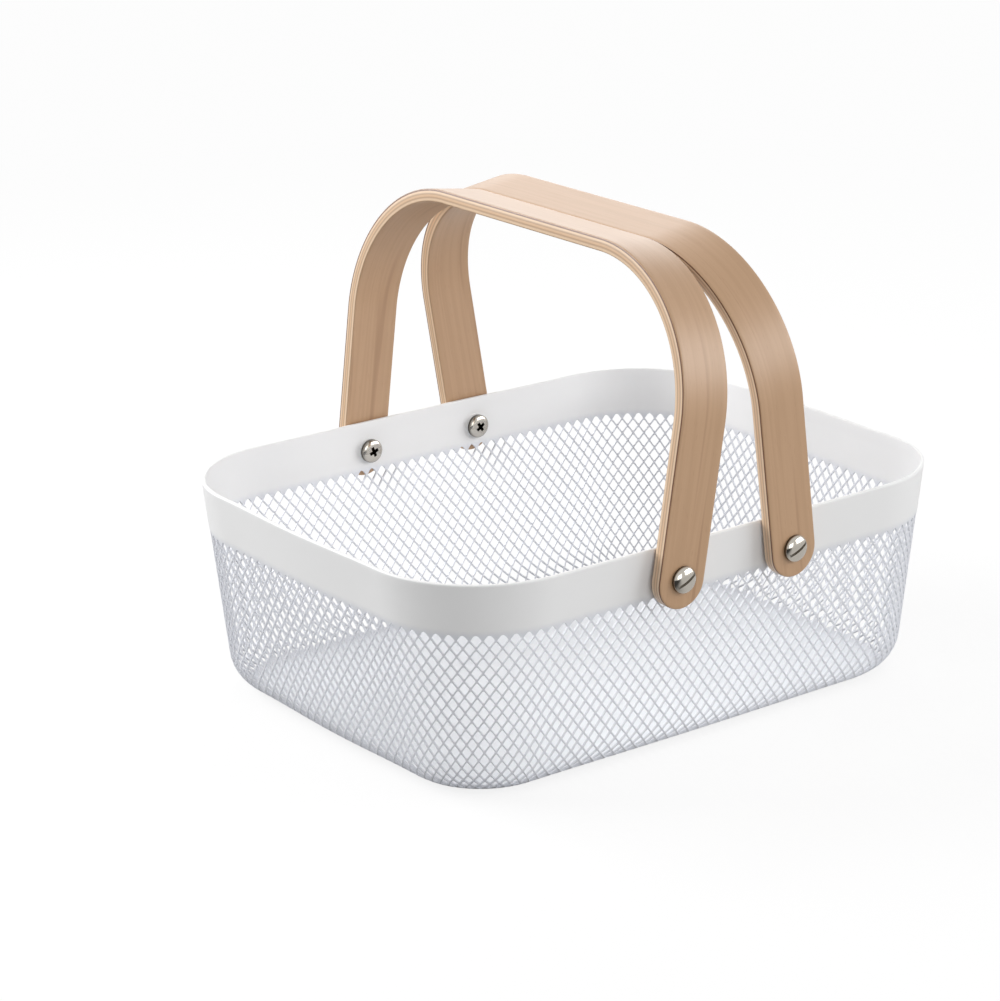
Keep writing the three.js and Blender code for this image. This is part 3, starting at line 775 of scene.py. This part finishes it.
def turnedShape(name, profile):
    # (radius, height) points turned about Z; a profile that doesn't start on the axis is a closed ring
    sides = hardware["sides"]
    ring = profile[0][0] > 0
    rows, points, faces = [], [], []
    for radius, height in profile:
        count = sides if radius > 0 else 1
        rows.append([len(points) + k % count for k in range(sides)])
        points += [(x, y, height) for x, y in circle(radius, sides)[:count]]
    pairs = list(zip(rows, rows[1:])) + ([(rows[-1], rows[0])] if ring else [])
    for low, high in pairs:
        for k in range(sides):
            corners = [low[k], low[(k + 1) % sides], high[(k + 1) % sides], high[k]]
            faces.append(list(dict.fromkeys(corners)))
    return meshObject(name, points, faces)


def headedShape(name, length, shaft, head, rim, dome, fullness, steps=12):
    # a shaft under a head with a rim and a dome, a quarter of a superellipse: a higher fullness is flatter
    ease = hardware["ease"]
    profile = [(0, -length), (shaft - ease, -length), (shaft, ease - length), (shaft, 0),
               (head - ease, 0), (head, ease), (head, rim)]
    for i in range(1, steps + 1):
        angle = math.pi / 2 * i / steps
        across = head * math.cos(angle) ** (2 / fullness) if i < steps else 0
        profile.append((across, rim + dome * math.sin(angle) ** (2 / fullness)))
    return turnedShape(name, profile)


def taperedBar(name, length, width, low, high, taper):
    points = []
    for z, share in ((low, taper), (high, 1)):
        points += [(sx * length * share, sy * width / 2 * (1 + share) / 2, z)
                   for sx, sy in ((-1, -1), (1, -1), (1, 1), (-1, 1))]
    faces = [[3, 2, 1, 0], [4, 5, 6, 7]] + [[k, (k + 1) % 4, 4 + (k + 1) % 4, 4 + k] for k in range(4)]
    return meshObject(name, points, faces)


def markPaintedShade(shape, footHeight, recessFloor, recessShare):
    # painted shade: 1 at the foot of a head, a share on the floor of its recess and 0 on the polished dome
    fade, near = hardware["shadeFade"], 0.01 * mm
    marks = shape.data.attributes.new("grime", "FLOAT", "POINT")
    for item, vertex in zip(marks.data, shape.data.vertices):
        inRecess = abs(vertex.co.z - recessFloor) < near
        item.value = recessShare if inRecess else min(1, max(0, fade - fade * vertex.co.z / footHeight))


def postShape(barrel):
    head, rim, dome = (hardware[k] for k in ("postHead", "postRim", "postDome"))
    shaft, fullness = hardware["postBarrel"], hardware["postFullness"]
    post = headedShape("postShape", barrel, shaft, head, rim, dome, fullness)
    slotFloor = rim + dome - hardware["slotDepth"]
    slot = taperedBar("slot", 2 * head, hardware["slotWidth"], slotFloor, rim + 2 * dome, 1)
    cutBy(post, [(slot, "DIFFERENCE")])
    markPaintedShade(post, hardware["postShadeHeight"], slotFloor, hardware["slotShade"])
    return post


def screwShape():
    head, rim, dome = (hardware[k] for k in ("screwHead", "screwRim", "screwDome"))
    length, shank = hardware["screwLength"], hardware["screwShank"]
    screw = headedShape("screwShape", length, shank, head, rim, dome, hardware["screwFullness"])
    reach, width, taper = (hardware[k] for k in ("crossReach", "crossWidth", "crossTaper"))
    crossFloor = rim + dome - hardware["crossDepth"]
    bars = []
    for turn in (0, math.pi / 2):
        bar = taperedBar("cross", reach, width, crossFloor, rim + 2 * dome, taper)
        bar.data.transform(Matrix.Rotation(turn, 4, "Z"))
        bars.append((bar, "DIFFERENCE"))
    cutBy(screw, bars)
    facesOutward(screw.data, hardware["screwWeld"])
    markPaintedShade(screw, hardware["screwShadeHeight"], crossFloor, hardware["crossShade"])
    return screw


def washerShape():
    bore, radius, thick = hardware["washerBore"], hardware["washerRadius"], hardware["washerThickness"]
    ease = hardware["ease"]
    return turnedShape("washerShape", [
        (bore, ease), (bore + ease, 0), (radius - ease, 0), (radius, ease), (radius, thick - ease),
        (radius - ease, thick), (bore + ease, thick), (bore, thick - ease)])


def hardwareTree():
    tree, given = nodeTree("hardwareSet", {"Object": ("Shape",), "Material": ("Finish",)})
    shape = addNode(tree, "GeometryNodeObjectInfo", inputs={"Object": given["Shape"]})
    facing = addNode(tree, "GeometryNodeInputNamedAttribute", {"data_type": "FLOAT_VECTOR"}, {
        "Name": "facing"})
    turn = addNode(tree, "FunctionNodeEulerToRotation", inputs={0: facing})
    placed = addNode(tree, "GeometryNodeInstanceOnPoints", inputs={
        "Points": given["Geometry"], "Instance": shape.outputs["Geometry"], "Rotation": turn})
    solid = addNode(tree, "GeometryNodeRealizeInstances", inputs={"Geometry": placed})
    finished = addNode(tree, "GeometryNodeSetMaterial", inputs={
        "Geometry": solid, "Material": given["Finish"]})
    addNode(tree, "NodeGroupOutput", inputs={0: finished})
    return tree


def makeHardware(name, kind, shape, tree, seat, outward, turns, finish):
    # each shape's own +Z points out of the basket, or into it where outward is -1
    places = list(pivotPlaces())
    points = meshObject(name + "Points", [(x, way * seat, z) for x, way, z in places], [])
    facing = points.data.attributes.new("facing", "FLOAT_VECTOR", "POINT")
    for item, (_, way, _), turn in zip(facing.data, places, turns):
        lay = Matrix.Rotation(-way * outward * math.pi / 2, 3, "X")
        item.vector = (lay @ Matrix.Rotation(math.radians(turn), 3, "Z")).to_euler()
    nodeModifier(points, tree, {"Shape": shape, "Finish": finish})
    piece = newObject(name, evaluatedMesh(points, name))
    discard(points, shape)
    finishMesh(piece.data, finish, hardware["sharp"])
    ends = [side + "_" + end for side in ("left", "right") for end in ("back", "front")]
    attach(piece, "tub")
    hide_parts(*["pivot_%s_%s" % (kind, end) for end in ends])
    print(name + ":", len(piece.data.polygons), "faces")


def makeAllHardware(metal, plasticRing):
    tree = hardwareTree()
    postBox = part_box("pivot_post_left_back")
    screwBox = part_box("pivot_screw_left_back")
    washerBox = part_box("pivot_washer_left_back")
    postSeat = postBox[1].y - hardware["postRim"] - hardware["postDome"]
    screwSeat = screwBox[0].y + hardware["screwRim"] + hardware["screwDome"]
    makeHardware("pivotPosts", "post", postShape(postSeat - postBox[0].y), tree, postSeat, 1,
                 hardware["slotTurns"], metal)
    makeHardware("pivotScrews", "screw", screwShape(), tree, screwSeat, -1,
                 hardware["crossTurns"], metal)
    makeHardware("pivotWashers", "washer", washerShape(), tree, washerBox[0].y, 1,
                 (0, 0, 0, 0), plasticRing)


# stage and light

# the floor's dark and pale tones for glossy rays are a painted reflection
stageLook = {
    "floor": "#9A9A9A", "floorHalf": 8, "backdrop": 0.98, "shadowShare": 0.15, "shadowFade": (0.3, 1.2),
    "sky": 0.49, "mirroredSky": 0.8, "darkReflection": 0.06, "paleReflection": 0.72, "reflectionEdge": (-0.15, 0.05),
}


def isRay(tree, *kinds):
    # 1 for rays of these kinds, 0 for the others
    path = addNode(tree, "ShaderNodeLightPath").outputs
    result = 0.0
    for kind in kinds:
        result = addNode(tree, "ShaderNodeMath", {"operation": "MAXIMUM"}, {0: result, 1: path[kind]})
    return result


def makeFloor():
    look, size = stageLook, stageLook["floorHalf"]
    corners = [(-size, -size, 0), (size, -size, 0), (size, size, 0), (-size, size, 0)]
    floor = meshObject("floor", corners, [[0, 1, 2, 3]])
    material, tree = newMaterial("paleFloor")
    lit = addNode(tree, "ShaderNodeBsdfPrincipled", inputs={
        "Base Color": toLinear(look["floor"]), "Roughness": 0.9, "Specular IOR Level": 0})
    # the camera sees white with the basket's shadow, which fades into the white further out
    place = addNode(tree, "ShaderNodeTexCoord").outputs["Object"]
    away = addNode(tree, "ShaderNodeVectorMath", {"operation": "LENGTH"}, {0: place})
    shadowHere = addNode(tree, "ShaderNodeMapRange", {"interpolation_type": "SMOOTHSTEP"}, {
        "Value": away, "From Min": look["shadowFade"][0], "From Max": look["shadowFade"][1],
        "To Min": look["shadowShare"], "To Max": 0.0})
    shadow = addNode(tree, "ShaderNodeBsdfDiffuse", inputs={"Color": toLinear("#FFFFFF")})
    glow = addNode(tree, "ShaderNodeEmission", inputs={"Strength": look["backdrop"]})
    seen = addNode(tree, "ShaderNodeMixShader", inputs={0: shadowHere, 1: glow, 2: shadow})
    # painted reflection: for glossy rays the floor glows dark on its left and pale on its right, which
    # metal mirrors
    leftToRight = addNode(tree, "ShaderNodeMapRange", {"interpolation_type": "SMOOTHSTEP"}, {
        "Value": addNode(tree, "ShaderNodeSeparateXYZ", inputs={0: place}).outputs["X"],
        "From Min": look["reflectionEdge"][0], "From Max": look["reflectionEdge"][1],
        "To Min": look["darkReflection"], "To Max": look["paleReflection"]})
    paintedReflection = addNode(tree, "ShaderNodeEmission", inputs={"Strength": leftToRight})
    mirrored = addNode(tree, "ShaderNodeMixShader", inputs={
        0: isRay(tree, "Is Glossy Ray"), 1: lit, 2: paintedReflection})
    both = addNode(tree, "ShaderNodeMixShader", inputs={
        0: isRay(tree, "Is Camera Ray", "Is Transmission Ray"), 1: mirrored, 2: seen})
    addNode(tree, "ShaderNodeOutputMaterial", inputs={"Surface": both})
    floor.data.materials.append(material)
    print("floor set")


def makeSky():
    world = bpy.data.worlds.new("studio")
    world.use_nodes = True
    tree = world.node_tree
    tree.nodes.clear()
    lit = addNode(tree, "ShaderNodeMix", {"data_type": "FLOAT"}, {
        0: isRay(tree, "Is Glossy Ray"), 2: stageLook["sky"], 3: stageLook["mirroredSky"]})
    strength = addNode(tree, "ShaderNodeMix", {"data_type": "FLOAT"}, {
        0: isRay(tree, "Is Camera Ray", "Is Transmission Ray"), 2: lit, 3: stageLook["backdrop"]})
    sky = addNode(tree, "ShaderNodeBackground", inputs={"Color": (1, 1, 1, 1), "Strength": strength})
    addNode(tree, "ShaderNodeOutputWorld", inputs={"Surface": sky})
    bpy.context.scene.world = world
    print("sky set")


lamps = {  # place, size and watts
    "backLeftLamp": ((-1.08, 1.38, 1.05), (1.4, 1.2), 42),
    "rightLamp": ((1.41, -1.27, 0.73), (1.8, 0.9), 19),
    "backRightLamp": ((1.28, 1.28, 0.92), (1.2, 1.2), 7),
    "frontLamp": ((-0.51, -1.89, 0.5), (1.2, 0.8), 7.5),
}
lampAim = (0, 0, 0.08)


def makeLamps():
    for name, (place, size, watts) in lamps.items():
        lamp = bpy.data.lights.new(name, "AREA")
        lamp.shape = "RECTANGLE"
        lamp.size, lamp.size_y = size
        lamp.energy = watts
        made = newObject(name, lamp)
        made.location = place
        made.rotation_euler = (Vector(lampAim) - Vector(place)).to_track_quat("-Z", "Y").to_euler()
    print("lamps set")


makeCamera()
plywood = bentPlywood()
makeTub(mouldedPolypropylene())
for joint, way in zip(frame["record"]["behaviour"]["joints"], (-1, 1)):
    side = "left" if way < 0 else "right"
    makeHandle(side + "Handle", "handle_" + side, joint["pos_m"], way, plywood)
makeAllHardware(nickelPlate(), pressedNylon())
makeFloor()
makeSky()
makeLamps()
bpy.context.scene.view_settings.view_transform = "Standard"
